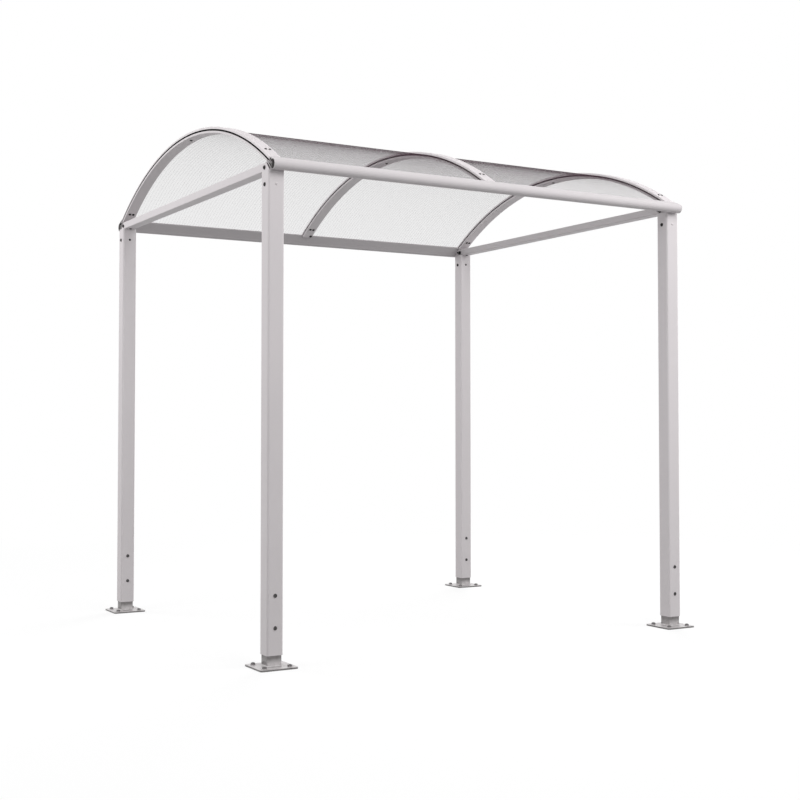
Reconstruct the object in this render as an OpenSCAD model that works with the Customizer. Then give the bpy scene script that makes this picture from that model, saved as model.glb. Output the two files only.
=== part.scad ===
// Waiting shelter: four square posts on bolted feet, two eave rails, two
// end ties, and a barrel roof of two curved twin-wall sheets clamped on
// three arches. Millimetres, +Z up. The origin is on the ground at the
// centre of the plan; X runs along the eaves and -Y is the open front.

/* [Plan] */
// Distance between post centres along the eaves
bay_length = 2368; // [1800:1:3200]
// Distance between post centres from front to back
bay_depth = 2046; // [1600:1:2400]

/* [Posts] */
// Outside width of the square post tube
post_w = 80; // [60:1:100]
// Wall of the post tube
post_wall = 4.5; // [3:0.5:6]
// Outside corner radius of the post tube
post_r = 10; // [5.5:0.5:12]
// Height of the post tops above the ground
post_top = 2248; // [1900:1:2700]
// Play between a post tube and the steel tubes inside it, each side
tube_play = 0.4; // [0.3:0.1:0.8]

/* [Feet] */
// Side of the square base plate
plate_w = 185; // [160:1:240]
// Thickness of the base plate
plate_t = 8; // [6:1:12]
// Corner radius of the base plate
plate_r = 12; // [5:1:20]
// Distance between anchor holes, both ways
anchor_pitch = 125; // [115:1:140]
// Diameter of an anchor hole
anchor_d = 14; // [11:1:18]
// Bare height of the stub between the plate and the post
stub_gap = 50; // [30:1:80]
// Length of the stub that reaches up inside the post
stub_reach = 320; // [300:1:420]
// Wall of the stub tube
stub_wall = 5; // [3:0.5:6]
// Height of the lower foot bolt above the ground
foot_bolt_low = 180; // [120:1:200]
// Distance between the two foot bolts
foot_bolt_pitch = 145; // [80:1:150]
// Diameter of the bolt holes in posts, stubs and brackets
bolt_hole_d = 9; // [7:0.5:11]

/* [Post brackets] */
// Length of the bracket socket inside the post top
socket_len = 110; // [90:1:160]
// Thickness of the bracket's top plate
socket_cap = 6; // [4:1:10]
// Depth of the top bolts below the post top
top_bolt_drop = 65; // [50:1:75]

/* [End ties] */
// Width of the tie tube
tie_w = 60; // [40:1:70]
// Height of the tie tube
tie_h = 40; // [30:1:41]
// Wall of the tie tube
tie_wall = 3; // [2:0.5:4]
// Outside corner radius of the tie tube
tie_r = 4; // [3.5:0.5:6]
// Thickness of the saddle between a tie's end and the rail
saddle_t = 14; // [10:1:16]
// How far a saddle is set in from the tie's outer side
saddle_set = 8; // [4:1:12]

/* [Eave rails] */
// Radius of the rounded nose
nose_r = 25; // [22:1:27]
// Height of the nose's centre above the post tops
nose_z = 20; // [18:1:23]
// How far the nose stands out past the posts
nose_out = 45; // [42:1:60]
// Slope of the rail's flat top, in degrees
rail_slope = 24; // [16:1:26]
// How far the nose stands proud of the flat top
nose_bead = 1; // [0.5:0.5:2]
// Wall of the rail
rail_wall = 3; // [2:0.5:4]
// Distance from the inner face to the edge of the lip over the sheet
lip_set = 30; // [26:1:34]
// Thickness of the lip
lip_t = 4; // [3:0.5:5]
// Radius of the bowed web behind the nose
web_r = 46; // [44:1:60]
// Distance from the bowed web's hollow side back to the nose's centre
web_set = 7; // [5:1:9]
// Height of the web's bow above the nose's centre
web_rise = 8; // [4:1:10]
// Thickness of the seal on the bowed web, under the lip
seal_t = 8; // [5:1:9]
// Height of the seal's lower edge above the post tops
seal_z = 34; // [30:1:40]

/* [Roof] */
// Radius of the roof at the middle of the sheet
roof_r = 1925; // [1700:1:2400]
// Thickness of the sheet
sheet_t = 9; // [6:1:10]
// Width of the arches and of the clamp caps
arch_w = 60; // [50:1:80]
// Depth of an arch below the sheet
arch_t = 10; // [8:1:14]
// Wall of the arch bar
arch_wall = 2.5; // [2:0.5:3]
// Height of a clamp cap above the sheet
cap_t = 12; // [9:1:16]
// Wall of a clamp cap
cap_wall = 3; // [2:0.5:4]
// Outside corner radius of a clamp cap
cap_r = 4; // [2:0.5:6]
// Width of a line groove along a cap
groove_w = 3; // [1:0.5:4]
// Depth of a line groove along a cap
groove_d = 1; // [0.5:0.1:1.5]
// Width of the rubber strip in an open end
edge_strip_w = 6; // [4:1:10]
// Width of the rubber strip between the two sheets
mid_strip_w = 24; // [16:1:30]
// How far the rubber strips reach past the rail's inner face
strip_reach = 10; // [4:1:20]
// Play at each sheet edge
sheet_play = 0.4; // [0.2:0.1:1]
// Room for growth between a sheet's end and the bowed web
sheet_room = 15; // [12:1:18]
// Gap between a clamp cap's end and the lip
cap_gap = 8; // [4:1:12]

/* [Hidden] */
$fn = 64;

paint = [0.83, 0.81, 0.81];
zinc = [0.62, 0.63, 0.64];
rubber = [0.08, 0.08, 0.08];
polycarbonate = [0.80, 0.83, 0.85, 0.6];

// Posts and feet
post_bottom = plate_t + stub_gap;
stub_w = post_w - 2 * post_wall - 2 * tube_play;
stub_r = post_r - post_wall - tube_play;
stub_top = post_bottom + stub_reach;

// Roof: every ring turns about one axis along X, at this height
sheet_in = roof_r - sheet_t / 2;
sheet_out = roof_r + sheet_t / 2;
half_depth = bay_depth / 2;
// The arch soffit meets the tie's inside top edge at the rail's inner face
axis_z = post_top + tie_h - sqrt(pow(sheet_in - arch_t, 2) - pow(half_depth, 2));

// Rails and ties share their end planes with the outer arches
half_length = bay_length / 2 + arch_w / 2;

// Rail: these are measured outward from its inner face, which is over the post centres
nose_x = post_w / 2 + nose_out - nose_r;
slot_depth = nose_x - web_set;
sheet_reach = slot_depth - sheet_room;
cap_reach = lip_set - cap_gap;

// The rail's flat back falls from its inner edge to just inside the nose's round
back_z = axis_z + sqrt(pow(sheet_in, 2) - pow(half_depth, 2)) - post_top - rail_wall;
flat_r = nose_r - nose_bead;
back_slope = atan2(back_z - nose_z, nose_x) + asin(flat_r / norm([nose_x, back_z - nose_z]));
back_end = [nose_x, nose_z] - flat_r * [sin(back_slope), cos(back_slope)];
// The flat back's height in a drawing that is turned until the back lies level
rotated_back = back_z * cos(back_slope);

function side_x(side) = side * bay_length / 2;
function side_y(side) = side * half_depth;

// ---- Shared shapes ----

// A filled rectangle with rounded corners, centred
module round_rect(w, h, r) {
    square([w - 2 * r, h], center = true);
    square([w, h - 2 * r], center = true);
    for (sx = [-1, 1], sy = [-1, 1])
        translate([sx * (w / 2 - r), sy * (h / 2 - r)]) circle(r = r);
}

// The section of a rectangular tube with rounded corners
module tube_section(w, h, wall, r) {
    difference() {
        round_rect(w, h, r);
        round_rect(w - 2 * wall, h - 2 * wall, max(r - wall, 0.5));
    }
}

// A cross-bore through a post along Y, or along X when turned
module cross_bore(z, turn = 0) {
    translate([0, 0, z]) rotate([90, 0, turn])
        cylinder(d = bolt_hole_d, h = post_w + 2, center = true);
}

// Sweeps a section drawn as [radius, place along X] over the whole roof,
// then trims it to an upright plane at both eaves
module roof_ring(trim_y) {
    reach = asin((trim_y + 20) / (sheet_in - arch_t));
    intersection() {
        translate([0, 0, axis_z]) rotate([90, 0, 90])
            rotate([0, 0, 90 - reach]) rotate_extrude(angle = 2 * reach, $fn = 256)
                children();
        translate([0, 0, post_top + tie_h + roof_r / 2])
            cube([2 * half_length + 10, 2 * trim_y, roof_r + 200], center = true);
    }
}

// ---- Posts and feet ----

module post(sx, sy) {
    color(paint) translate([side_x(sx), side_y(sy), 0]) difference() {
        translate([0, 0, post_bottom]) linear_extrude(post_top - post_bottom)
            tube_section(post_w, post_w, post_wall, post_r);
        cross_bore(foot_bolt_low);
        cross_bore(foot_bolt_low + foot_bolt_pitch);
        cross_bore(post_top - top_bolt_drop);
        cross_bore(post_top - top_bolt_drop, 90);
    }
}

module base_plate(sx, sy) {
    color(zinc) translate([side_x(sx), side_y(sy), 0]) difference() {
        linear_extrude(plate_t) round_rect(plate_w, plate_w, plate_r);
        for (hx = [-1, 1], hy = [-1, 1])
            translate([hx, hy] * anchor_pitch / 2) translate([0, 0, -1])
                cylinder(d = anchor_d, h = plate_t + 2);
    }
}

module foot_stub(sx, sy) {
    color(zinc) translate([side_x(sx), side_y(sy), 0]) difference() {
        translate([0, 0, plate_t]) linear_extrude(stub_top - plate_t)
            tube_section(stub_w, stub_w, stub_wall, stub_r);
        cross_bore(foot_bolt_low);
        cross_bore(foot_bolt_low + foot_bolt_pitch);
    }
}

// The socket that closes a post top and carries the rail and the tie
module post_bracket(sx, sy) {
    color(zinc) translate([side_x(sx), side_y(sy), 0]) difference() {
        translate([0, 0, post_top - socket_len]) linear_extrude(socket_len)
            round_rect(stub_w, stub_w, stub_r);
        translate([0, 0, post_top - socket_len - 1])
            linear_extrude(socket_len - socket_cap + 1)
                round_rect(stub_w - 2 * stub_wall, stub_w - 2 * stub_wall, 0.5);
        cross_bore(post_top - top_bolt_drop);
        cross_bore(post_top - top_bolt_drop, 90);
    }
}

// ---- Eave rails and ties ----

// The rail section is drawn as [outward from the inner face, up from the post top].
// A circle of the roof, as it shows in that section
module roof_disc(r) {
    translate([-half_depth, axis_z - post_top]) circle(r = r, $fn = 256);
}

// Height of the rail's flat top
function rail_top(u) = nose_z + flat_r / cos(rail_slope) + (nose_x - u) * tan(rail_slope);

module rail_outline() {
    flat_end = nose_x + flat_r * sin(rail_slope);
    translate([nose_x, nose_z]) circle(r = nose_r);
    polygon([
        [0, back_z], back_end, [nose_x, nose_z], [flat_end, rail_top(flat_end)],
        [lip_set, rail_top(lip_set)], [0, rail_top(lip_set)]
    ]);
}

// Everything inward of the bowed web, or of its outer side when grown by its wall
module inside_web(grow = 0) {
    translate([slot_depth - web_r, nose_z + web_rise]) circle(r = web_r + grow, $fn = 128);
}

// The groove under the lip, as deep as the rail's top is thick there
module lip_groove() {
    lip_in = lip_set + lip_t;
    polygon([
        [lip_in, 0], [nose_x, 0],
        [nose_x, rail_top(nose_x) - lip_t], [lip_in, rail_top(lip_in) - lip_t]
    ]);
}

// Everything above the sheet's underside: the slot, the groove under the lip
// and the open seat inside the lip
module sheet_space() {
    intersection() {
        inside_web();
        difference() {
            union() {
                roof_disc(sheet_out + sheet_play);
                translate([-1, 0]) square([lip_set + 1, 4 * nose_r]);
                lip_groove();
            }
            roof_disc(sheet_in);
        }
    }
}

// The chamber between the sheet's seat and the flat back
module seat_chamber() {
    inward = rail_wall * [sin(back_slope), cos(back_slope)];
    floor_end = back_end + inward;
    intersection() {
        polygon([
            [0, back_z] + inward, floor_end, [nose_x, floor_end[1]], [nose_x, back_z]
        ]);
        roof_disc(sheet_in - rail_wall);
        inside_web();
    }
}

// The chamber in the nose, outside the bowed web
module nose_chamber() {
    difference() {
        translate([nose_x, nose_z]) circle(r = nose_r - rail_wall);
        inside_web(rail_wall);
    }
}

module rail_section() {
    difference() {
        rail_outline();
        sheet_space();
        seat_chamber();
        nose_chamber();
    }
}

// Sweeps a rail shape along one eave, past both end planes by the overrun
module along_eave(sy, overrun = 0) {
    length = 2 * (half_length + overrun);
    rotate([0, 0, sy < 0 ? 180 : 0]) translate([-length / 2, half_depth, post_top])
        rotate([90, 0, 90]) linear_extrude(length) children();
}

module eave_rail(sy) {
    color(paint) along_eave(sy) rail_section();
}

module lip_seal(sy) {
    color(rubber) along_eave(sy) difference() {
        intersection() {
            lip_groove();
            inside_web();
            translate([0, seal_z]) square(4 * nose_r);
        }
        inside_web(-seal_t);
    }
}

// The half of the rail drawing outward of a line beside the flat back, this far inward of it
module outward_of_back(away) {
    rotate(-back_slope) translate([-4 * nose_r, rotated_back - away]) square(8 * nose_r);
}

module end_tie(sx) {
    color(paint) difference() {
        translate([side_x(sx), half_depth + post_w / 2, post_top + tie_h / 2])
            rotate([90, 0, 0]) linear_extrude(bay_depth + post_w)
                tube_section(tie_w, tie_h, tie_wall, tie_r);
        along_eave(-1, 1) outward_of_back(saddle_t);
        along_eave(1, 1) outward_of_back(saddle_t);
    }
}

// A cast block that fills the tie's slanted end and carries the rail's flat back
module rail_saddle(sx, sy) {
    color(paint) intersection() {
        along_eave(sy) difference() {
            outward_of_back(saddle_t);
            rail_outline();
        }
        translate([side_x(sx) - sx * saddle_set / 2, sy * half_depth, post_top + tie_h / 2])
            cube([tie_w - saddle_set, post_w, tie_h], center = true);
    }
}

// ---- Roof ----

module arch(sx) {
    color(paint) roof_ring(half_depth) translate([0, side_x(sx)]) difference() {
        translate([sheet_in - arch_t, -arch_w / 2]) square([arch_t, arch_w]);
        translate([sheet_in - arch_t + arch_wall, -arch_w / 2 + arch_wall])
            square([arch_t - 2 * arch_wall, arch_w - 2 * arch_wall]);
    }
}

module clamp_cap(sx) {
    crown = sheet_out + cap_t;
    color(paint) roof_ring(half_depth + cap_reach) translate([0, side_x(sx)]) difference() {
        union() {
            translate([sheet_out, -arch_w / 2]) square([cap_t - cap_r, arch_w]);
            translate([sheet_out, -arch_w / 2 + cap_r]) square([cap_t, arch_w - 2 * cap_r]);
            for (s = [-1, 1])
                translate([crown - cap_r, s * (arch_w / 2 - cap_r)]) circle(r = cap_r);
        }
        // Hollow underside between the two clamping feet
        translate([sheet_out - 1, -arch_w / 2 + 2 * cap_wall])
            square([cap_t - cap_wall + 1, arch_w - 4 * cap_wall]);
        // Line grooves along the crown
        for (s = [-1, 0, 1])
            translate([crown - groove_d, s * arch_w / 4 - groove_w / 2])
                square([groove_d + 1, groove_w]);
    }
}

module sheet_gap_strip(x, w) {
    color(rubber) roof_ring(half_depth + strip_reach) translate([sheet_in, x - w / 2])
        square([sheet_t, w]);
}

module edge_strip(sx) {
    sheet_gap_strip(sx * (half_length - edge_strip_w / 2), edge_strip_w);
}

module roof_sheet(sx) {
    near = mid_strip_w / 2 + sheet_play;
    far = half_length - edge_strip_w - sheet_play;
    color(polycarbonate) roof_ring(half_depth + sheet_reach)
        translate([sheet_in, sx < 0 ? -far : near]) square([sheet_t, far - near]);
}

post(-1, -1);  // post_front_left
post(1, -1);  // post_front_right
post(-1, 1);  // post_back_left
post(1, 1);  // post_back_right
base_plate(-1, -1);  // base_plate_front_left
base_plate(1, -1);  // base_plate_front_right
base_plate(-1, 1);  // base_plate_back_left
base_plate(1, 1);  // base_plate_back_right
foot_stub(-1, -1);  // foot_stub_front_left
foot_stub(1, -1);  // foot_stub_front_right
foot_stub(-1, 1);  // foot_stub_back_left
foot_stub(1, 1);  // foot_stub_back_right
post_bracket(-1, -1);  // post_bracket_front_left
post_bracket(1, -1);  // post_bracket_front_right
post_bracket(-1, 1);  // post_bracket_back_left
post_bracket(1, 1);  // post_bracket_back_right
eave_rail(-1);  // eave_rail_front
eave_rail(1);  // eave_rail_back
lip_seal(-1);  // lip_seal_front
lip_seal(1);  // lip_seal_back
end_tie(-1);  // end_tie_left
end_tie(1);  // end_tie_right
rail_saddle(-1, -1);  // rail_saddle_front_left
rail_saddle(1, -1);  // rail_saddle_front_right
rail_saddle(-1, 1);  // rail_saddle_back_left
rail_saddle(1, 1);  // rail_saddle_back_right
arch(-1);  // arch_left
arch(0);  // arch_middle
arch(1);  // arch_right
clamp_cap(-1);  // clamp_cap_left
clamp_cap(0);  // clamp_cap_middle
clamp_cap(1);  // clamp_cap_right
edge_strip(-1);  // edge_strip_left
edge_strip(1);  // edge_strip_right
sheet_gap_strip(0, mid_strip_w);  // joint_strip_middle
roof_sheet(-1);  // roof_sheet_left
roof_sheet(1);  // roof_sheet_right
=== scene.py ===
# %% [markdown]
# # A waiting shelter, finished in Blender
# The shelter is four square posts on bolted feet, two eave rails, two end ties and a
# barrel roof of clear twin-wall sheets under clamping caps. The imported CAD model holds
# every piece at its real size. This notebook gives those pieces their finishes, and adds
# what is too small for the CAD: bolts, washers, screws, welds and the webs in the sheets.

# %% Load the frame
from math import asin, cos, pi, radians, sin, sqrt

import bmesh
import bpy
from mathutils import Euler, Matrix, Vector


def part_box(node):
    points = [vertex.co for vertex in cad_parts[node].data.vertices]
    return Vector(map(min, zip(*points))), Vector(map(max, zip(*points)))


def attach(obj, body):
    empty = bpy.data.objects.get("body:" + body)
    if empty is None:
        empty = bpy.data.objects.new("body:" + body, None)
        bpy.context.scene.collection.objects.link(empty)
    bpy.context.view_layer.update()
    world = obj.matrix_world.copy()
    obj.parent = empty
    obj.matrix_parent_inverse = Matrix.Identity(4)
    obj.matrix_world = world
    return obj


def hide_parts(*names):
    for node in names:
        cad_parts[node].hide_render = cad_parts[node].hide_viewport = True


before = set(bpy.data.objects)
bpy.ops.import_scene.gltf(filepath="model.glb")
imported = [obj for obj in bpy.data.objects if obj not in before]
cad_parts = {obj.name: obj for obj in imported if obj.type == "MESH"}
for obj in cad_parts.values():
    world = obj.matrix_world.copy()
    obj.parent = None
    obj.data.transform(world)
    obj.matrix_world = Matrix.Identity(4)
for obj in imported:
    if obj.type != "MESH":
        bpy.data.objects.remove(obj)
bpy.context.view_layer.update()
scene = bpy.context.scene

# %% [markdown]
# ## Camera
# The camera stands a little above waist height, well off the front left corner, and looks
# almost level, so the underside of the roof shows through the open front. A lens of about
# 58 mm keeps the posts nearly parallel. The small shift sets the framing without tilting
# the camera further, which would make the posts lean.

# %% Place the camera
CAMERA_PLACE = (-3.641, -6.361, 1.089)
CAMERA_YAW = radians(30.04)
CAMERA_PITCH = radians(1.87)
CAMERA_LENS = 58.1
CAMERA_SHIFT = (0.0094, -0.0211)

camera_data = bpy.data.cameras.new("camera")
camera_data.lens = CAMERA_LENS
camera_data.shift_x, camera_data.shift_y = CAMERA_SHIFT
camera = bpy.data.objects.new("camera", camera_data)
camera.location = CAMERA_PLACE
camera.rotation_euler = Euler((pi / 2 + CAMERA_PITCH, 0, -CAMERA_YAW))
scene.collection.objects.link(camera)
scene.camera = camera
print("Camera at", tuple(round(c, 2) for c in camera.location))

# %% [markdown]
# ## Lamps
# The studio has five soft boxes. A high one in front of the shelter and one to each side
# of it model the outer faces. Two behind it, one of them strong, light the back posts and
# reach in under the roof. All are large, so their shadows are soft, and none of them shows
# to the camera or in a reflection.

# %% Place the lamps
SOFT_BOX_SIZE = 3.0
SOFT_BOX_AIM = Vector((0, 0, 1.6))
SOFT_BOXES = {
    "left_soft_box": ((-5.0, -0.5, 3.4), 80),
    "front_right_soft_box": ((4.5, -4.5, 4.0), 170),
    "high_front_soft_box": ((0.0, -5.0, 6.0), 155),
    "back_left_soft_box": ((-4.5, 4.5, 4.0), 115),
    "back_right_soft_box": ((4.5, 4.5, 4.0), 255),
}


def soft_box(name, place, power):
    """A square area lamp at place that faces the middle of the shelter."""
    data = bpy.data.lights.new(name, "AREA")
    data.shape = "SQUARE"
    data.size = SOFT_BOX_SIZE
    data.energy = power
    lamp = bpy.data.objects.new(name, data)
    lamp.location = place
    lamp.rotation_euler = (SOFT_BOX_AIM - Vector(place)).to_track_quat("-Z", "Y").to_euler()
    lamp.visible_camera = False
    lamp.visible_glossy = False
    scene.collection.objects.link(lamp)


scene.view_settings.view_transform = "Standard"
for lamp_name, (lamp_place, lamp_power) in SOFT_BOXES.items():
    soft_box(lamp_name, lamp_place, lamp_power)
print("Lamps:", ", ".join(SOFT_BOXES))

# %% [markdown]
# ## World
# A world of even white fills in between the lamps. It is at full strength only where the
# camera, a reflection or a clear sheet looks at it, and weaker as a light, so that it does
# not wash the paint out. The Light Path node tells these rays apart. The world, the floor
# and every finish are trees of small nodes, so a few short helpers come first. Each one
# makes a node and feeds its inputs with other nodes' outputs or with plain values.

# %% White world
SKY_LIGHT = 0.49


def plug(tree, socket, value):
    """Feeds a socket from another socket, or with a plain value."""
    if hasattr(value, "links"):
        tree.links.new(value, socket)
    else:
        socket.default_value = value


def new_node(tree, kind, **inputs):
    """A new shader node of this kind, with the inputs that are named here fed."""
    node = tree.nodes.new("ShaderNode" + kind)
    for name, value in inputs.items():
        plug(tree, node.inputs[name.replace("_", " ")], value)
    return node


def map_range(tree, value, low, high, start=0.0, end=1.0, curve="LINEAR"):
    """value, taken from start..end to low..high."""
    ends = {"From_Min": start, "From_Max": end, "To_Min": low, "To_Max": high}
    node = new_node(tree, "MapRange", Value=value, **ends)
    node.interpolation_type = curve
    return node.outputs["Result"]


def maths(tree, operation, *values):
    """The result of a Math node on numbers or sockets."""
    node = new_node(tree, "Math")
    node.operation = operation
    for socket, value in zip(node.inputs, values):
        plug(tree, socket, value)
    return node.outputs[0]


def seen_directly(tree):
    """A value that is 1 for camera, glossy and transmission rays, and 0 for light."""
    rays = new_node(tree, "LightPath").outputs
    straight = maths(tree, "MAXIMUM", rays["Is Camera Ray"], rays["Is Glossy Ray"])
    return maths(tree, "MAXIMUM", straight, rays["Is Transmission Ray"])


def white_world():
    """An even white world, weaker as a light than where it is looked at."""
    world = bpy.data.worlds.new("studio")
    world.use_nodes = True
    tree = world.node_tree
    background = tree.nodes["Background"]
    plug(tree, background.inputs["Color"], (1, 1, 1, 1))
    strength = map_range(tree, seen_directly(tree), SKY_LIGHT, 1.0)
    plug(tree, background.inputs["Strength"], strength)
    return world


scene.world = white_world()
print("World:", scene.world.name, "at", SKY_LIGHT, "as a light")

# %% [markdown]
# ## Floor
# The shelter stands on a plain pale floor that fades into the white. Near the feet the
# floor is mostly a matt surface, which keeps the soft contact shadows. Further out it
# turns into plain white, so no horizon line shows. As a light it is darker than it looks,
# because a white floor would throw too much up under the roof.

# %% Make the floor
FLOOR_RADIUS = 30.0
FLOOR_SIDES = 64
FLOOR_TONE = 0.85
FLOOR_BOUNCE = 0.34
FLOOR_WHITE = 0.75
FLOOR_FADE = (1.5, 6.0)


def floor_material():
    """Mostly matt near the shelter, and plain white where the camera looks further out."""
    mat = bpy.data.materials.new("studio_floor")
    mat.use_nodes = True
    tree = mat.node_tree
    tree.nodes.clear()
    seen = seen_directly(tree)
    matt = new_node(tree, "BsdfDiffuse", Color=map_range(tree, seen, FLOOR_BOUNCE, FLOOR_TONE))
    length = new_node(tree, "VectorMath")
    length.operation = "LENGTH"
    plug(tree, length.inputs[0], new_node(tree, "TexCoord").outputs["Object"])
    away = map_range(tree, length.outputs["Value"], FLOOR_WHITE, 1.0, *FLOOR_FADE, "SMOOTHSTEP")
    blend = new_node(tree, "MixShader", Fac=maths(tree, "MULTIPLY", seen, away))
    tree.links.new(matt.outputs[0], blend.inputs[1])
    tree.links.new(new_node(tree, "Emission").outputs[0], blend.inputs[2])
    new_node(tree, "OutputMaterial", Surface=blend.outputs[0])
    return mat


def mesh_object(name, bm, *materials):
    """A new object from bm, at the origin, with these materials."""
    mesh = bpy.data.meshes.new(name)
    bm.to_mesh(mesh)
    bm.free()
    for material in materials:
        mesh.materials.append(material)
    piece = bpy.data.objects.new(name, mesh)
    scene.collection.objects.link(piece)
    return piece


floor_shape = bmesh.new()
bmesh.ops.create_circle(floor_shape, cap_ends=True, segments=FLOOR_SIDES, radius=FLOOR_RADIUS)
floor = mesh_object("floor", floor_shape, floor_material())
print("Floor:", 2 * FLOOR_RADIUS, "m across")

# %% [markdown]
# ## Powder-coated aluminium
# The frame is sprayed with a pale warm grey powder and baked. Such paint is satin, with a
# faint orange peel a few millimetres across and a slight drift of tone from coat
# thickness. The peel goes into the bump and the drift into colour and roughness. A post
# is painted a little darker towards its foot, as painted shade where the light falls off
# towards the floor. A post looks a little duller towards its foot, as dust would make it,
# though the cause is a guess. Every finish starts from one Principled shader, and its
# patterns read Object coordinates in metres, so their scale is the real one on every
# piece. A small class holds that shader and short ways to feed its sockets.

# %% Finish helper


class Finish:
    """A material with one Principled shader, and short ways to feed its sockets."""

    def __init__(self, name, **sockets):
        self.material = bpy.data.materials.new(name)
        self.material.use_nodes = True
        self.tree = self.material.node_tree
        self.shader = self.tree.nodes["Principled BSDF"]
        coordinates = self.node("TexCoord")
        self.place = coordinates.outputs["Object"]
        self.facing = coordinates.outputs["Normal"]
        for socket, value in sockets.items():
            self.feed(socket.replace("_", " "), value)

    def node(self, kind, **inputs):
        """A new node in this material."""
        return new_node(self.tree, kind, **inputs)

    def feed(self, socket, value):
        """Gives the shader this value, or another node's output."""
        plug(self.tree, self.shader.inputs[socket], value)

    def ramp(self, value, low, high, start=0.0, end=1.0):
        """value, taken from start..end to low..high."""
        return map_range(self.tree, value, low, high, start, end)

    def maths(self, operation, *values):
        """The result of a Math node on numbers or sockets."""
        return maths(self.tree, operation, *values)

    def axis(self, letter, vector=None):
        """One axis of a vector, by default of the place on the piece."""
        return self.node("SeparateXYZ", Vector=vector or self.place).outputs[letter]

    def noise(self, size, detail=2.0, vector=None):
        """Cloudy noise whose blobs are about size metres across."""
        texture = {"Vector": vector or self.place, "Scale": 1 / size, "Detail": detail}
        return self.node("TexNoise", **texture).outputs["Fac"]

    def blend(self, value, first, second):
        """A colour between first and second."""
        node = self.node("Mix", Factor=value)
        node.data_type = "RGBA"
        colours = [socket for socket in node.inputs if socket.type == "RGBA"]
        for socket, colour in zip(colours, (first, second)):
            plug(self.tree, socket, colour if hasattr(colour, "links") else (*colour, 1))
        return [socket for socket in node.outputs if socket.type == "RGBA"][0]

    def bump(self, height, depth):
        """Raises the surface by depth metres where height is 1."""
        node = self.node("Bump", Strength=1.0, Distance=depth, Height=height)
        before = self.shader.inputs["Normal"].links
        if before:
            plug(self.tree, node.inputs["Normal"], before[0].from_socket)
        self.feed("Normal", node.outputs["Normal"])


# %% Frame paint
COAT_THIN = (0.655, 0.621, 0.634)
COAT_THICK = (0.697, 0.660, 0.675)
COAT_DRIFT_SIZE = 0.45
COAT_ROUGHNESS = (0.48, 0.60)
COAT_GLOSS_SIZE = 0.05
PEEL_SIZE = 0.004
PEEL_DEPTH = 0.00012
SPECK_TONE = (0.46, 0.44, 0.44)
SPECK_SIZE = 0.0012
SPECK_DEPTH = 0.00003
SPECK_SHARE = 0.18
SPECK_RANGE = (0.45, 0.75)
# Painted shade: the paint turns darker towards the foot of a post, where the light falls off.
FOOT_SHADE_TONE = (0.30, 0.285, 0.285)
FOOT_SHADE_SHARE = 0.15
FOOT_SHADE_TOP = 2.2


def powder_coat(name, lightness=1.0, patches=None):
    """Satin paint, with the masks and colours that patches gives laid over it."""
    paint = Finish(name, IOR=1.5, Specular_IOR_Level=0.3)
    thin, thick = ([c * lightness for c in tone] for tone in (COAT_THIN, COAT_THICK))
    tone = paint.blend(paint.noise(COAT_DRIFT_SIZE, detail=3), thin, thick)
    speck = paint.noise(SPECK_SIZE, detail=1)
    specked = paint.ramp(speck, 0, SPECK_SHARE, *SPECK_RANGE)
    tone = paint.blend(specked, tone, SPECK_TONE)
    # Painted shade, darker towards the foot.
    foot_shade = paint.ramp(paint.axis("Z"), FOOT_SHADE_SHARE, 0, end=FOOT_SHADE_TOP)
    tone = paint.blend(foot_shade, tone, FOOT_SHADE_TONE)
    for mask, colour in patches(paint) if patches else ():
        tone = paint.blend(mask, tone, colour)
    paint.feed("Base Color", tone)
    paint.feed("Roughness", paint.ramp(paint.noise(COAT_GLOSS_SIZE), *COAT_ROUGHNESS))
    paint.bump(paint.noise(PEEL_SIZE, detail=1), PEEL_DEPTH)
    paint.bump(speck, SPECK_DEPTH)
    return paint.material


frame_paint = powder_coat("powder_coat")
# The caps' paint is made lighter than the frame's: a painted highlight.
lit_cap_paint = powder_coat("cap_coat_lit", lightness=1.09)
print("Paints:", frame_paint.name, "and", lit_cap_paint.name)

# %% [markdown]
# ## Rails and ties
# The clamp caps are painted a shade lighter than the posts, a painted highlight, and the
# rails a shade darker, a painted shade. The slope of a rail that faces into the shelter
# gets more painted shade, and so does the inner side of a tie. Inside its chambers a rail
# is painted dark as their shade, and the inner part of its cut ends takes the same tone.
# Each of these places is a mask, worked out from the circles and lines of the extrusion:
# the round nose, the sloping back, and the seat under the sheet, which lies on the roof's
# own circle.

# %% Rail and tie paint
SHEET_THICK = 0.009
ROOF_RADIUS = 1.925
ROOF_AXIS_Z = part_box("roof_sheet_left")[1].z - ROOF_RADIUS - SHEET_THICK / 2
POST_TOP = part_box("post_back_right")[1].z
RAIL_NOSE = 0.025  # radius of a rail's round nose
RAIL_BACK_RISE = 0.0488  # the sloping back's inner edge, above the post tops
RAIL_BACK_SLOPE = radians(46.8)
SEAT_WIDTH = 0.045  # how far the seat reaches out from that edge
COAT_EDGE = 0.0015  # how far a mask keeps from an edge, or reaches round it
# Painted shade on the slope of a rail that faces into the shelter.
SLOPE_SHADE_TONE = (0.478, 0.454, 0.464)
# Painted shade inside a rail's chambers; the inner part of its cut ends takes it too.
CHAMBER_SHADE_TONE = (0.24, 0.23, 0.23)
# Painted shade on the side of a tie that faces into the shelter.
TIE_INNER_SHADE_TONE = (0.545, 0.517, 0.528)


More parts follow.
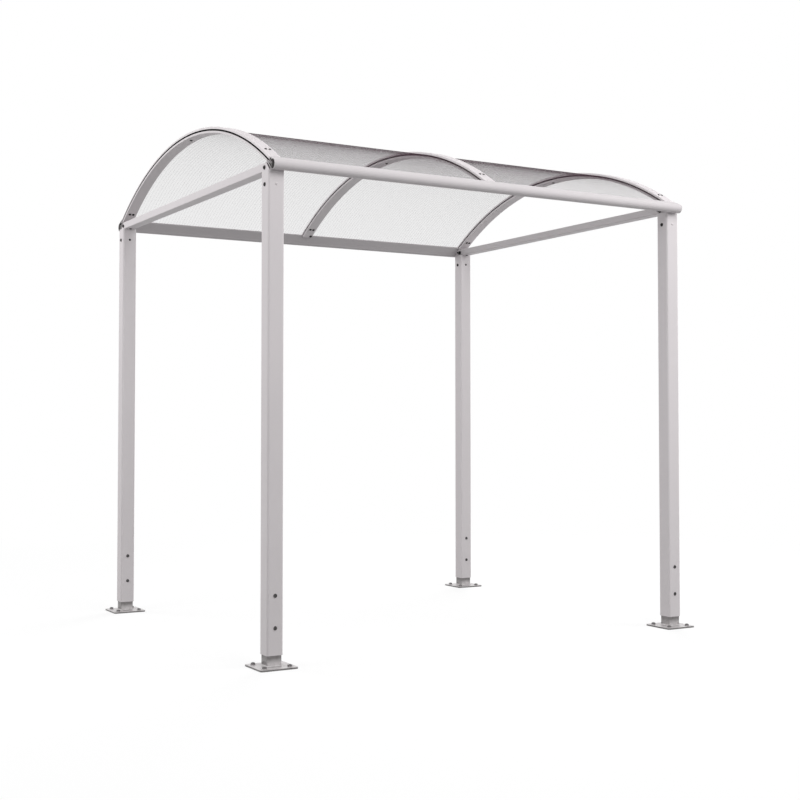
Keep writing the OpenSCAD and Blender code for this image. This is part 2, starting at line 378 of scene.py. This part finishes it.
def rail_patches(paint):
    """Masks and painted shade colours for a rail's inner slope, its chambers and its cut ends."""
    low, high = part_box("eave_rail_back")
    across = paint.maths("ABSOLUTE", paint.axis("Y"))
    height = paint.axis("Z")

    def beyond(value, edge):
        """How far value is past edge."""
        return paint.maths("SUBTRACT", value, edge)

    def within(centre_y, centre_z, radius):
        """1 inside a circle round a line along X, and 0 outside it."""
        squares = [paint.maths("POWER", beyond(across, centre_y), 2),
                   paint.maths("POWER", beyond(height, centre_z), 2)]
        return paint.maths("LESS_THAN", paint.maths("ADD", *squares), radius ** 2)

    rise = paint.maths("MULTIPLY", beyond(height, POST_TOP + RAIL_BACK_RISE), cos(RAIL_BACK_SLOPE))
    run = paint.maths("MULTIPLY", beyond(across, low.y), sin(RAIL_BACK_SLOPE))
    over_back = paint.maths("ADD", rise, run)
    on_slope = paint.maths("LESS_THAN", paint.maths("ABSOLUTE", over_back), COAT_EDGE)
    in_nose = within(high.y - RAIL_NOSE, low.z + RAIL_NOSE, RAIL_NOSE - COAT_EDGE)
    in_seat = within(0, ROOF_AXIS_Z, ROOF_RADIUS - SHEET_THICK / 2 - COAT_EDGE)
    behind = paint.maths("GREATER_THAN", over_back, COAT_EDGE)
    in_seat = paint.maths("MULTIPLY", in_seat, behind)
    near = paint.maths("LESS_THAN", across, low.y + SEAT_WIDTH)
    in_seat = paint.maths("MULTIPLY", in_seat, near)
    # Both patches lay painted shade on the rail.
    return [(on_slope, SLOPE_SHADE_TONE), (paint.maths("MAXIMUM", in_nose, in_seat), CHAMBER_SHADE_TONE)]


def tie_patches(paint):
    """The mask and the painted shade colour for the side of a tie that faces into the shelter."""
    inner_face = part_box("end_tie_right")[0].x + COAT_EDGE
    # Painted shade on the tie's inner side.
    inside = paint.maths("LESS_THAN", paint.maths("ABSOLUTE", paint.axis("X")), inner_face)
    return [(inside, TIE_INNER_SHADE_TONE)]


# The rails' paint is made darker than the frame's: a painted shade.
shaded_rail_paint = powder_coat("rail_coat_shaded", lightness=0.89, patches=rail_patches)
tie_paint = powder_coat("tie_coat", patches=tie_patches)
print("Paints:", shaded_rail_paint.name, "and", tie_paint.name)

# %% [markdown]
# ## Galvanised steel
# The foot plates and the stubs are dipped in molten zinc, which has weathered to a dull
# grey. The zinc froze in flat crystals, each turned its own way, so every crystal has its
# own tone and gloss. A Voronoi texture gives the crystals. The flat top of a plate is
# painted bright, as a painted reflection, while its edges keep the dull zinc tone. A stub
# keeps a dark zinc tone just under its post and is painted bright at its foot, most of all
# on the face to the front, as painted light off the plate. A stub is darkest just under
# its post and bright at its foot, most of all on the face to the front, which may be light
# off the plate. The welds are painted bright all over, as lit zinc.

# %% Zinc coat
PLATE_TONES = ((0.150, 0.143, 0.143), (0.200, 0.191, 0.191))
STUB_TONES = ((0.170, 0.160, 0.160), (0.210, 0.200, 0.200))
# Painted light: the welds are as bright as lit zinc.
WELD_LIT_TONES = ((0.490, 0.470, 0.472), (0.590, 0.566, 0.568))
# Painted light: the lit tone of a plate's top and of a stub's foot.
LIT_ZINC_TONE = (0.560, 0.536, 0.540)
LIT_ZINC_SPREAD = (0.93, 1.07)
PLATE_LIT_HEIGHTS = (0.0070, 0.0078)
STUB_LIT_HEIGHTS = (0.046, 0.011)
STUB_FRONT_LIGHT = 1.35
STUB_SIDE_LIGHT = 0.70
CRYSTAL_SIZE = 0.011
CRYSTAL_ROUGHNESS = (0.30, 0.45)
DIP_SIZE = 0.03
DIP_DEPTH = 0.0004


def galvanised(name, tones, lit_heights=None, lit_front=False, metallic=1.0):
    """Zinc that is painted a lit tone between two given heights, as painted light."""
    zinc = Finish(name, Metallic=metallic)
    cells = zinc.node("TexVoronoi", Vector=zinc.place, Scale=1 / CRYSTAL_SIZE)
    crystal = zinc.node("SeparateColor", Color=cells.outputs["Color"]).outputs
    tone = zinc.blend(crystal["Red"], *tones)
    # Painted light: lighter below a height, most on a stub's front face.
    if lit_heights:
        share = zinc.ramp(zinc.axis("Z"), 0, 1, *lit_heights)
        if lit_front:
            forward = zinc.axis("Y", zinc.facing)
            turned = zinc.ramp(forward, STUB_FRONT_LIGHT, STUB_SIDE_LIGHT, start=-1, end=0)
            share = zinc.maths("MULTIPLY", share, turned)
        low, high = ([c * spread for c in LIT_ZINC_TONE] for spread in LIT_ZINC_SPREAD)
        tone = zinc.blend(share, tone, zinc.blend(crystal["Red"], low, high))
    zinc.feed("Base Color", tone)
    zinc.feed("Roughness", zinc.ramp(crystal["Green"], *CRYSTAL_ROUGHNESS))
    zinc.bump(zinc.noise(DIP_SIZE, detail=4), DIP_DEPTH)
    return zinc.material


# A plate's top gets a painted reflection, and a stub's foot painted light.
plate_zinc = galvanised("plate_zinc", PLATE_TONES, PLATE_LIT_HEIGHTS, metallic=0.4)
stub_zinc = galvanised("stub_zinc", STUB_TONES, STUB_LIT_HEIGHTS, lit_front=True)
lit_weld_zinc = galvanised("lit_weld_zinc", WELD_LIT_TONES)
print("Zinc:", plate_zinc.name, stub_zinc.name, lit_weld_zinc.name)

# %% [markdown]
# ## Mill aluminium and rubber
# The brackets inside the post tops are raw extrusion with fine lines along it, which is
# noise drawn out fifty times along Z. The strips and seals round the sheets are matt black
# rubber with a little dust on it.

# %% Brackets and strips
MILL_TONES = ((0.66, 0.67, 0.68), (0.80, 0.80, 0.81))
MILL_ROUGHNESS = (0.28, 0.42)
LINE_SIZE = 0.002
LINE_STRETCH = (1, 1, 0.02)
LINE_DEPTH = 0.00005
RUBBER_TONES = ((0.003, 0.003, 0.003), (0.009, 0.009, 0.009))
RUBBER_ROUGHNESS = (0.75, 0.90)
RUBBER_DUST_SIZE = 0.02
RUBBER_GRAIN_SIZE = 0.001
RUBBER_GRAIN_DEPTH = 0.00003


def mill_aluminium():
    """Bare extruded aluminium with fine lines along Z."""
    metal = Finish("mill_aluminium", Metallic=1.0)
    drawn = metal.node("Mapping", Vector=metal.place, Scale=LINE_STRETCH).outputs["Vector"]
    lines = metal.noise(LINE_SIZE, detail=2, vector=drawn)
    metal.feed("Base Color", metal.blend(lines, *MILL_TONES))
    metal.feed("Roughness", metal.ramp(lines, *MILL_ROUGHNESS))
    metal.bump(lines, LINE_DEPTH)
    return metal.material


def black_rubber():
    """Matt black rubber with a little dust."""
    rubber = Finish("black_rubber", IOR=1.5, Specular_IOR_Level=0.08)
    dust = rubber.noise(RUBBER_DUST_SIZE, detail=3)
    rubber.feed("Base Color", rubber.blend(dust, *RUBBER_TONES))
    rubber.feed("Roughness", rubber.ramp(dust, *RUBBER_ROUGHNESS))
    rubber.bump(rubber.noise(RUBBER_GRAIN_SIZE), RUBBER_GRAIN_DEPTH)
    return rubber.material


bracket_metal = mill_aluminium()
strip_rubber = black_rubber()
print("Small finishes:", bracket_metal.name, strip_rubber.name)

# %% [markdown]
# ## Bolt steel
# The bolts and screws of the roof and of the post tops are dark, as zinc-nickel steel
# is. The bolts at the feet of the posts are a little lighter. The anchor nuts are dull grey,
# and their washers are bright zinc. All four are one finish at different lightnesses:
# steel whose tone and gloss drift over a few millimetres.

# %% Steel for bolts, nuts and washers
STEEL_TINT = (1, 0.955, 0.965)
STEEL_ROUGHNESS = (0.28, 0.48)
STEEL_GRAIN_SIZE = 0.003


def plain_steel(name, low, high, metallic=1.0):
    """Steel whose tone drifts between two greys."""
    steel = Finish(name, Metallic=metallic)
    grain = steel.noise(STEEL_GRAIN_SIZE, detail=3)
    tones = ([grey * c for c in STEEL_TINT] for grey in (low, high))
    steel.feed("Base Color", steel.blend(grain, *tones))
    steel.feed("Roughness", steel.ramp(grain, *STEEL_ROUGHNESS))
    return steel.material


dark_steel = plain_steel("bolt_steel", low=0.022, high=0.050)
foot_steel = plain_steel("foot_bolt_steel", low=0.060, high=0.110)
anchor_steel = plain_steel("anchor_steel", low=0.14, high=0.24, metallic=0.6)
bright_steel = plain_steel("washer_steel", low=0.42, high=0.58)
print("Steels:", dark_steel.name, foot_steel.name, anchor_steel.name, bright_steel.name)

# %% [markdown]
# ## Clear twin-wall sheet
# Each wall of a twin-wall sheet is thin clear plastic with a faint grey cast. Light goes
# straight through it, so a low alpha shows it better than bent glass would. A line of
# sight that meets a wall at a glancing angle has a longer way through the plastic, and
# the share it loses grows with that length. Layer Weight's Facing value is one minus the
# cosine of the angle, so dividing by that cosine gives the length. The top skin takes the
# larger share of the loss, which is a choice made for how the crest of the roof looks. A
# line of sight can cross many webs, so the number of clear surfaces that a ray may pass
# is raised.

# %% Sheet plastic
CLEAR_SURFACES = 64
SKIN_TONE = (0.078, 0.048, 0.060)
WEB_TONE = (0.095, 0.066, 0.080)
CLOUD_SIZE = 0.08
CLOUD_SPREAD = 1.2


def clear_wall(name, colour, haze_loss, plastic_loss):
    """Plastic that takes haze_loss at its face and plastic_loss straight through it."""
    plastic = Finish(name, IOR=1.58, Specular_IOR_Level=0.0, Roughness=0.2)
    cosine = plastic.ramp(plastic.node("LayerWeight").outputs["Facing"], 1, 0)
    length = plastic.maths("DIVIDE", plastic_loss, cosine)
    passed = plastic.maths("EXPONENT", plastic.maths("SUBTRACT", -haze_loss, length))
    plastic.feed("Alpha", plastic.maths("SUBTRACT", 1.0, passed))
    cloud = plastic.noise(CLOUD_SIZE, detail=2)
    lighter = [c * CLOUD_SPREAD for c in colour]
    plastic.feed("Base Color", plastic.blend(cloud, colour, lighter))
    return plastic.material


scene.cycles.transparent_max_bounces = CLEAR_SURFACES
top_plastic = clear_wall("sheet_top_skin", SKIN_TONE, haze_loss=0.026, plastic_loss=0.0215)
lower_plastic = clear_wall("sheet_lower_skin", SKIN_TONE, haze_loss=0.026, plastic_loss=0.0045)
web_plastic = clear_wall("sheet_web", WEB_TONE, haze_loss=0.018, plastic_loss=0.006)
print("Sheet plastics:", top_plastic.name, lower_plastic.name, web_plastic.name)

# %% [markdown]
# ## Finishes on the CAD pieces
# A CAD piece keeps its mesh and only takes a better material. The first word or two of
# each node's name says what it is made of. Where two of these beginnings fit, as post and
# post_bracket do, the longer one counts.

# %% Paint the frame
FINISH_OF = {
    "post": frame_paint,
    "post_bracket": bracket_metal,
    "base_plate": plate_zinc,
    "foot_stub": stub_zinc,
    "eave_rail": shaded_rail_paint,
    "end_tie": tie_paint,
    "rail_saddle": frame_paint,
    "arch": frame_paint,
    "clamp_cap": lit_cap_paint,
    "edge_strip": strip_rubber,
    "joint_strip": strip_rubber,
    "lip_seal": strip_rubber,
    "roof_sheet": top_plastic,
}
for node_name, cad_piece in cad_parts.items():
    beginning = max((word for word in FINISH_OF if node_name.startswith(word)), key=len)
    cad_piece.data.materials.clear()
    cad_piece.data.materials.append(FINISH_OF[beginning])
print("Painted", len(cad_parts), "CAD pieces")

# %% [markdown]
# ## Twin-wall roof sheets
# A twin-wall sheet is two skins joined by a web every 18 mm. The extruder makes it in one
# straight run, and it is bent cold over the arches with the webs following the curve.
# So the cross-section is drawn once: a row of narrow cells with the middles taken out.
# One spin round the roof's axis then makes the whole sheet, skins, webs and open channels.

# %% Section of a sheet
SKIN = 0.0005
WEB = 0.0006
WEB_PITCH = 0.018


def extrude_line(bm, edges):
    """Extrudes a line of edges in place, and gives the new vertices and the new line."""
    grown = bmesh.ops.extrude_edge_only(bm, edges=edges)["geom"]
    verts = [g for g in grown if isinstance(g, bmesh.types.BMVert)]
    lines = [g for g in grown if isinstance(g, bmesh.types.BMEdge)]
    return verts, [line for line in lines if all(v in verts for v in line.verts)]


def sheet_section(bm, start, end):
    """The section of a sheet from X start to end, upright over the axis of the roof."""
    cells = int((end - start - WEB) / WEB_PITCH)
    pitch = (end - start - WEB) / cells
    columns = [start]
    for cell in range(cells):
        columns += [start + cell * pitch + WEB, start + (cell + 1) * pitch]
    columns.append(end)
    inner = ROOF_RADIUS - SHEET_THICK / 2
    rows = [inner, inner + SKIN, inner + SHEET_THICK - SKIN, inner + SHEET_THICK]
    first = [bm.verts.new((x, 0, inner)) for x in columns]
    edges = [bm.edges.new(pair) for pair in zip(first, first[1:])]
    for low, high in zip(rows, rows[1:]):
        verts, edges = extrude_line(bm, edges)
        bmesh.ops.translate(bm, verts=verts, vec=(0, 0, high - low))
    holes = [
        face for face in bm.faces
        if abs(face.calc_center_median().z - ROOF_RADIUS) < SKIN
        and face.calc_area() > WEB * SHEET_THICK
    ]
    bmesh.ops.delete(bm, geom=holes, context="FACES")
    return cells


section_test = bmesh.new()
print("A metre of sheet has", sheet_section(section_test, 0, 1), "channels")
section_test.free()

# %% [markdown]
# ## Bending the sheets
# The section is turned to the back edge of the roof and spun to the front edge. Skins and
# webs then take their own plastic, told apart by the way they face and by their distance
# from the roof's axis. The finished sheet stands for the solid one in the CAD.

# %% Spin the sheets
SPIN_STEPS = 40
SHARP_ANGLE = radians(32)
TOP_SKIN, WEBS, LOWER_SKIN = range(3)
SHEET_REACH = asin(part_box("roof_sheet_left")[1].y / ROOF_RADIUS)


def smooth_shade(piece):
    """Smooth shading that keeps the real edges sharp."""
    piece.data.shade_smooth()
    piece.data.set_sharp_from_angle(angle=SHARP_ANGLE)


def plastic_of(face):
    """Which of a sheet's three materials a face takes."""
    if abs(face.normal.x) > cos(pi / 4):
        return WEBS
    middle = face.calc_center_median()
    reach = sqrt(middle.y ** 2 + (middle.z - ROOF_AXIS_Z) ** 2)
    return TOP_SKIN if reach > ROOF_RADIUS else LOWER_SKIN


def twin_wall_sheet(name, node):
    """A bent sheet with two skins and its webs, in place of a solid CAD sheet."""
    low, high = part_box(node)
    bm = bmesh.new()
    cells = sheet_section(bm, low.x, high.x)
    axis = Vector((0, 0, 0))
    turn = Matrix.Rotation(-SHEET_REACH, 3, "X")
    bmesh.ops.rotate(bm, verts=bm.verts, cent=axis, matrix=turn)
    bmesh.ops.spin(
        bm, geom=bm.verts[:] + bm.edges[:] + bm.faces[:], cent=axis, axis=(1, 0, 0),
        angle=2 * SHEET_REACH, steps=SPIN_STEPS, use_merge=False,
    )
    bmesh.ops.translate(bm, verts=bm.verts, vec=(0, 0, ROOF_AXIS_Z))
    bmesh.ops.recalc_face_normals(bm, faces=bm.faces)
    for face in bm.faces:
        face.material_index = plastic_of(face)
    piece = mesh_object(name, bm, top_plastic, web_plastic, lower_plastic)
    smooth_shade(piece)
    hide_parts(node)
    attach(piece, "root")
    print(name, "has", cells, "channels and", len(piece.data.polygons), "faces")


for side in ("left", "right"):
    twin_wall_sheet("twin_wall_sheet_" + side, "roof_sheet_" + side)

# %% [markdown]
# ## Fasteners
# Bolts, nuts and screws are turned and pressed shapes. Only what shows of each is
# modelled: its head or its nut, a washer, and the end of a stud. Each kind is modelled
# once, standing on the XY plane with its axis along Z, and then stamped at every place it
# is used. All the stamps of one kind become one piece.

# %% Stamping helpers
CORNERS = [(side, row) for side in ("left", "right") for row in ("front", "back")]


def disc(bm, radius, sides, base=0.0):
    """The face of a new flat disc with this many sides, at the height base."""
    made = bmesh.ops.create_circle(bm, cap_ends=True, segments=sides, radius=radius)
    bmesh.ops.translate(bm, verts=made["verts"], vec=(0, 0, base))
    return [face for face in bm.faces if all(v in made["verts"] for v in face.verts)]


def pull(bm, faces, height, scale=1.0):
    """Extrudes faces up by height and scales the new end about the Z axis."""
    # With their edges given too, faces that close a shape are moved, not left inside it.
    rims = list(dict.fromkeys(edge for face in faces for edge in face.edges))
    grown = bmesh.ops.extrude_face_region(bm, geom=faces + rims)["geom"]
    verts = [g for g in grown if isinstance(g, bmesh.types.BMVert)]
    bmesh.ops.translate(bm, verts=verts, vec=(0, 0, height))
    bmesh.ops.scale(bm, verts=verts, vec=(scale, scale, 1))
    return [g for g in grown if isinstance(g, bmesh.types.BMFace)]


def facing(place, direction, spin=0.0):
    """The matrix that stands a fastener on place with its head towards direction."""
    turn = Vector(direction).to_track_quat("Z", "Y").to_matrix().to_4x4()
    return Matrix.Translation(place) @ turn @ Matrix.Rotation(spin, 4, "Z")


def stamp(name, shape, places, material):
    """Copies a template bmesh to every place and makes one piece of the copies."""
    template = bpy.data.meshes.new(name + "_template")
    shape.to_mesh(template)
    shape.free()
    bm = bmesh.new()
    for place in places:
        old = len(bm.verts)
        bm.from_mesh(template)
        bm.verts.ensure_lookup_table()
        bmesh.ops.transform(bm, matrix=place, verts=bm.verts[old:])
    bpy.data.meshes.remove(template)
    bmesh.ops.recalc_face_normals(bm, faces=bm.faces)
    piece = mesh_object(name, bm, material)
    smooth_shade(piece)
    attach(piece, "root")
    print(name, "stamped", len(places), "times")


def centre_of(node):
    """The middle of a node's box."""
    low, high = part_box(node)
    return (low + high) / 2


print("Corners:", [f"{row} {side}" for side, row in CORNERS])

# %% [markdown]
# ## Anchors on the foot plates
# Each plate is held down by four M12 anchors: a wide washer, a hexagon nut and the end of
# the stud. A washer is a ring of edges, extruded round its section and closed on itself. A
# nut is a six-sided disc pulled up and drawn in at the top. Nobody lines the nuts up, so
# each one is turned a little differently.

# %% Anchors
ANCHOR_OFFSET = 0.0625
PLATE_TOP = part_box("base_plate_front_left")[1].z
NUT_TURN = 0.7
WASHER_SIDES = 32
WASHER_SOFTNESS = 0.3
CHAMFER_HEIGHT = 0.15
CHAMFER_SCALE = 0.88
STUD_SIDES = 16
STUD_BASE = 0.004
STUD_TIP = 0.001


def washer(bm, outer, hole, thick):
    """A flat washer on the XY plane, added to bm, with softened edges."""
    made = bmesh.ops.create_circle(bm, cap_ends=False, segments=WASHER_SIDES, radius=hole)
    ring = [edge for edge in bm.edges if all(v in made["verts"] for v in edge.verts)]
    soft = thick * WASHER_SOFTNESS
    side = [(outer - soft, 0), (outer, soft), (outer, thick - soft), (outer - soft, thick)]
    first = ring
    radius, level = hole, 0.0
    for new_radius, new_level in side + [(hole, thick)]:
        verts, ring = extrude_line(bm, ring)
        scale = new_radius / radius
        bmesh.ops.scale(bm, verts=verts, vec=(scale, scale, 1))
        bmesh.ops.translate(bm, verts=verts, vec=(0, 0, new_level - level))
        radius, level = new_radius, new_level
    bmesh.ops.bridge_loops(bm, edges=ring + first)


def nut(bm, across, height, base):
    """A hexagon nut on the plane z = base, with its top corners chamfered."""
    faces = disc(bm, across / sqrt(3), 6, base)
    faces = pull(bm, faces, height * (1 - CHAMFER_HEIGHT))
    pull(bm, faces, height * CHAMFER_HEIGHT, CHAMFER_SCALE)


def stud_end(bm, radius, top, tip_scale):
    """The end of a stud, from inside its nut up to top, with a chamfered tip."""
    faces = disc(bm, radius, STUD_SIDES, STUD_BASE)
    faces = pull(bm, faces, top - STUD_TIP - STUD_BASE)
    pull(bm, faces, STUD_TIP, tip_scale)


def anchor_places():
    """The four anchors of every plate, each with a turn of its own."""
    places = []
    for side, row in CORNERS:
        middle = centre_of(f"base_plate_{row}_{side}")
        for quarter in range(4):
            angle = pi / 4 + quarter * pi / 2
            x = middle.x + ANCHOR_OFFSET * sqrt(2) * cos(angle)
            y = middle.y + ANCHOR_OFFSET * sqrt(2) * sin(angle)
            places.append(facing((x, y, PLATE_TOP), (0, 0, 1), NUT_TURN * len(places)))
    return places


washer_shape = bmesh.new()
washer(washer_shape, outer=0.012, hole=0.0065, thick=0.0022)
stamp("anchor_washers", washer_shape, anchor_places(), bright_steel)

anchor_shape = bmesh.new()
nut(anchor_shape, across=0.019, height=0.0065, base=0.0022)
stud_end(anchor_shape, radius=0.0058, top=0.0105, tip_scale=0.80)
stamp("anchor_nuts", anchor_shape, anchor_places(), anchor_steel)

# %% [markdown]
# ## Welds
# A fillet weld joins each stub to its plate. Its section is a triangle with a hollow face,
# and it follows the stub's rounded square outline. So it is built as a few such outlines,
# first out along the plate and then each a little higher and closer in. Their edges are
# bridged, and the last one is bridged to the first, which closes the ring.

# %% Weld fillets
WELD_LEG = 0.008
WELD_HOLLOW = 0.9
WELD_STEPS = 5
STUB_CORNER = 0.005
CORNER_STEPS = 5


def rounded_square(bm, half, corner, level):
    """An outline of edges round a square with rounded corners, at this level."""
    verts = []
    middle = Vector((half - corner, half - corner, 0))
    for quarter in range(4):
        for step in range(CORNER_STEPS + 1):
            angle = step / CORNER_STEPS * pi / 2
            point = middle + corner * Vector((cos(angle), sin(angle), 0))
            point.rotate(Euler((0, 0, quarter * pi / 2)))
            verts.append(bm.verts.new((point.x, point.y, level)))
    return [bm.edges.new(pair) for pair in zip(verts, verts[1:] + verts[:1])]


def weld_fillet(half):
    """The fillet round a stub that is 2 * half wide, standing on the XY plane."""
    bm = bmesh.new()
    section = [(0, 0)]
    for step in range(WELD_STEPS + 1):
        angle = step / WELD_STEPS * pi / 2
        out = WELD_LEG * (1 - WELD_HOLLOW * sin(angle))
        section.append((out, WELD_LEG * WELD_HOLLOW * (1 - cos(angle))))
    section.append((0, WELD_LEG * WELD_HOLLOW))
    loops = [rounded_square(bm, half + out, STUB_CORNER + out, up) for out, up in section]
    for first, second in zip(loops, loops[1:] + loops[:1]):
        bmesh.ops.bridge_loops(bm, edges=first + second)
    return bm


def stub_feet():
    """The foot of every stub, on its plate."""
    stubs = [centre_of(f"foot_stub_{row}_{side}") for side, row in CORNERS]
    return [Matrix.Translation((middle.x, middle.y, PLATE_TOP)) for middle in stubs]


stub_low, stub_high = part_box("foot_stub_front_left")
stamp("weld_fillets", weld_fillet((stub_high.x - stub_low.x) / 2), stub_feet(), lit_weld_zinc)

# %% [markdown]
# ## Foot bolts and top bolts
# Two bolts run through each post and its stub from front to back. At the top, short bolts
# enter the bracket from all four faces. The ones on the front and the back of the shelter
# are small and painted over. All of them have a domed head with a socket. The head is a
# disc pulled up in five steps that close in like a dome. The socket is drawn in and
# pushed down, and left round, because its six sides would not show at this size.

# %% Post bolts
HEAD_SIDES = 24
DOME_STEPS = 5
DOME_BEND = pi / 2 * 0.62
SOCKET_DEPTH = 0.6
SOCKET_TAPER = 0.96
FOOT_BOLT_HEIGHTS = (0.180, 0.325)
TOP_BOLT_DROP = 0.065


def button_head(radius, height, key):
    """A domed head with a round socket of radius key."""
    bm = bmesh.new()
    top = disc(bm, radius, HEAD_SIDES)
    for step in range(DOME_STEPS):
        before, after = (DOME_BEND * count / DOME_STEPS for count in (step, step + 1))
        rise = height * (sin(after) - sin(before)) / sin(DOME_BEND)
        top = pull(bm, top, rise, cos(after) / cos(before))
    top = pull(bm, top, 0, key / (radius * cos(DOME_BEND)))
    pull(bm, top, -height * SOCKET_DEPTH, SOCKET_TAPER)
    bmesh.ops.recalc_face_normals(bm, faces=bm.faces)
    return bm


def foot_bolt_places():
    """Both ends of the two bolts in every post's foot."""
    places = []
    for side, row in CORNERS:
        low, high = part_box(f"post_{row}_{side}")
        x = (low.x + high.x) / 2
        for z in FOOT_BOLT_HEIGHTS:
            places.append(facing((x, low.y, z), (0, -1, 0), spin=9 * z))
            places.append(facing((x, high.y, z), (0, 1, 0), spin=7 * z))
    return places


def top_bolt_places(ways, axis):
    """A bolt on the post faces square to this axis, 0 for X and 1 for Y.

    Along Y, way 1 points into the shelter and way -1 out of it.
    """
    places = []
    for side, row in CORNERS:
        low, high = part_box(f"post_{row}_{side}")
        middle = (low + high) / 2
        middle.z = high.z - TOP_BOLT_DROP
        for way in ways:
            sign = -way if axis == 1 and row == "back" else way
            place = middle.copy()
            place[axis] = (high if sign > 0 else low)[axis]
            direction = Vector((0, 0, 0))
            direction[axis] = sign
            places.append(facing(place, direction, spin=5 * middle.x + 3 * middle.y))
    return places


small_head = {"radius": 0.0065, "height": 0.0036, "key": 0.0025}
painted_head = {"radius": 0.0065, "height": 0.0028, "key": 0.0020}
foot_head = {"radius": 0.0092, "height": 0.0050, "key": 0.0030}
side_head = {"radius": 0.0098, "height": 0.0052, "key": 0.0036}
stamp("foot_bolts", button_head(**foot_head), foot_bolt_places(), foot_steel)
stamp("side_bolts", button_head(**side_head), top_bolt_places((-1, 1), 0), dark_steel)
stamp("inner_bolts", button_head(**small_head), top_bolt_places((1,), 1), dark_steel)
stamp("painted_bolts", button_head(**painted_head), top_bolt_places((-1,), 1), frame_paint)

# %% [markdown]
# ## Tie bolts
# A bolt runs across each end of a tie, a little in from the middle of the post, with its
# head outside and a washer and a nut on the side that faces into the shelter. A short bolt
# enters the tie from below, just past the post.

# %% Tie bolts
TIE_BOLT_IN = {"front": 0.025, "back": 0.013}
TIE_BOLT_RISE = 0.017
UNDER_BOLT_IN = 0.052
TIE_WASHER = 0.002


def along_tie(side, row, inwards):
    """The point under a tie at this distance in from its post, and the tie's box."""
    low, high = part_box("end_tie_" + side)
    post = centre_of(f"post_{row}_{side}")
    y = post.y + inwards if row == "front" else post.y - inwards
    return Vector((post.x, y, low.z)), low, high


def tie_end_places(nuts=False):
    """A place on the outer side of each tie end, or for nuts on its inner side."""
    places = []
    for side, row in CORNERS:
        place, low, high = along_tie(side, row, TIE_BOLT_IN[row])
        way = -1 if (side == "left") != nuts else 1
        place.x = low.x if way < 0 else high.x
        place.z += TIE_BOLT_RISE
        places.append(facing(place, (way, 0, 0), spin=9 * place.y))
    return places


def under_tie_places():
    """The underside of each tie end, just past its post."""
    spots = [along_tie(side, row, UNDER_BOLT_IN)[0] for side, row in CORNERS]
    return [facing(spot, (0, 0, -1), spin=0.2) for spot in spots]


tie_nut_shape = bmesh.new()
washer(tie_nut_shape, outer=0.012, hole=0.006, thick=TIE_WASHER)
nut(tie_nut_shape, across=0.018, height=0.010, base=TIE_WASHER)
stud_end(tie_nut_shape, radius=0.00582, top=0.023, tip_scale=0.85)

tie_head = {"radius": 0.0100, "height": 0.0060, "key": 0.0040}
under_head = {"radius": 0.0075, "height": 0.0048, "key": 0.0029}
stamp("tie_bolts", button_head(**tie_head), tie_end_places(), dark_steel)
stamp("tie_under_bolts", button_head(**under_head), under_tie_places(), dark_steel)
stamp("tie_nuts", tie_nut_shape, tie_end_places(nuts=True), dark_steel)

# %% [markdown]
# ## Roof screws
# A pair of small screws holds each end of every clamp cap, and a matching pair shows on
# the arch below. One more screw goes up through each arch at the crown, and a bolt fixes
# each foot of the middle arch, which has no tie under it. All of them point at the roof's
# axis or away from it, so one helper finds their places on rings round that axis.

# %% Roof screws
CAP_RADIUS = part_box("clamp_cap_left")[1].z - ROOF_AXIS_Z
ARCH_THICK = 0.010
SOFFIT_RADIUS = ROOF_RADIUS - SHEET_THICK / 2 - ARCH_THICK
SCREW_APART = 0.021
CAP_SCREW_IN = 0.056
ARCH_SCREW_IN = 0.067
ARCH_FOOT_IN = 0.012
ARCH_FOOT_ASIDE = 0.018
ARCHES = ["arch_left", "arch_middle", "arch_right"]


def on_roof(x, y, radius):
    """The point of a ring of this radius over y, and the outward direction there."""
    out = Vector((0, y, sqrt(radius ** 2 - y ** 2))) / radius
    return Vector((x, 0, ROOF_AXIS_Z)) + out * radius, out


def roof_screw_pairs(inset, radius, way):
    """A pair of places near each end of every arch, on the ring of this radius."""
    places = []
    for arch in ARCHES:
        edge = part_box(arch)[1].y - inset
        for y in (-edge, edge):
            for aside in (-SCREW_APART / 2, SCREW_APART / 2):
                point, out = on_roof(centre_of(arch).x + aside, y, radius)
                places.append(facing(point, out * way, spin=50 * aside + y))
    return places


def crown_places():
    """The underside of each arch at its crown."""
    spots = [on_roof(centre_of(arch).x, 0, SOFFIT_RADIUS) for arch in ARCHES]
    return [facing(point, -out) for point, out in spots]


def middle_foot_places():
    """The underside of the middle arch near each of its feet."""
    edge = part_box("arch_middle")[1].y - ARCH_FOOT_IN
    spots = [on_roof(ARCH_FOOT_ASIDE, y, SOFFIT_RADIUS) for y in (-edge, edge)]
    return [facing(point, -out, spin=point.y) for point, out in spots]


cap_pairs = roof_screw_pairs(CAP_SCREW_IN, CAP_RADIUS, 1)
arch_pairs = roof_screw_pairs(ARCH_SCREW_IN, SOFFIT_RADIUS, -1)
cap_head = {"radius": 0.0068, "height": 0.0034, "key": 0.0024}
arch_head = {"radius": 0.0080, "height": 0.0044, "key": 0.0030}
crown_head = {"radius": 0.0085, "height": 0.0046, "key": 0.0032}
arch_foot_head = {"radius": 0.0090, "height": 0.0060, "key": 0.0036}
stamp("cap_screws", button_head(**cap_head), cap_pairs, dark_steel)
stamp("arch_screws", button_head(**arch_head), arch_pairs, dark_steel)
stamp("crown_screws", button_head(**crown_head), crown_places(), dark_steel)
stamp("arch_foot_bolts", button_head(**arch_foot_head), middle_foot_places(), dark_steel)
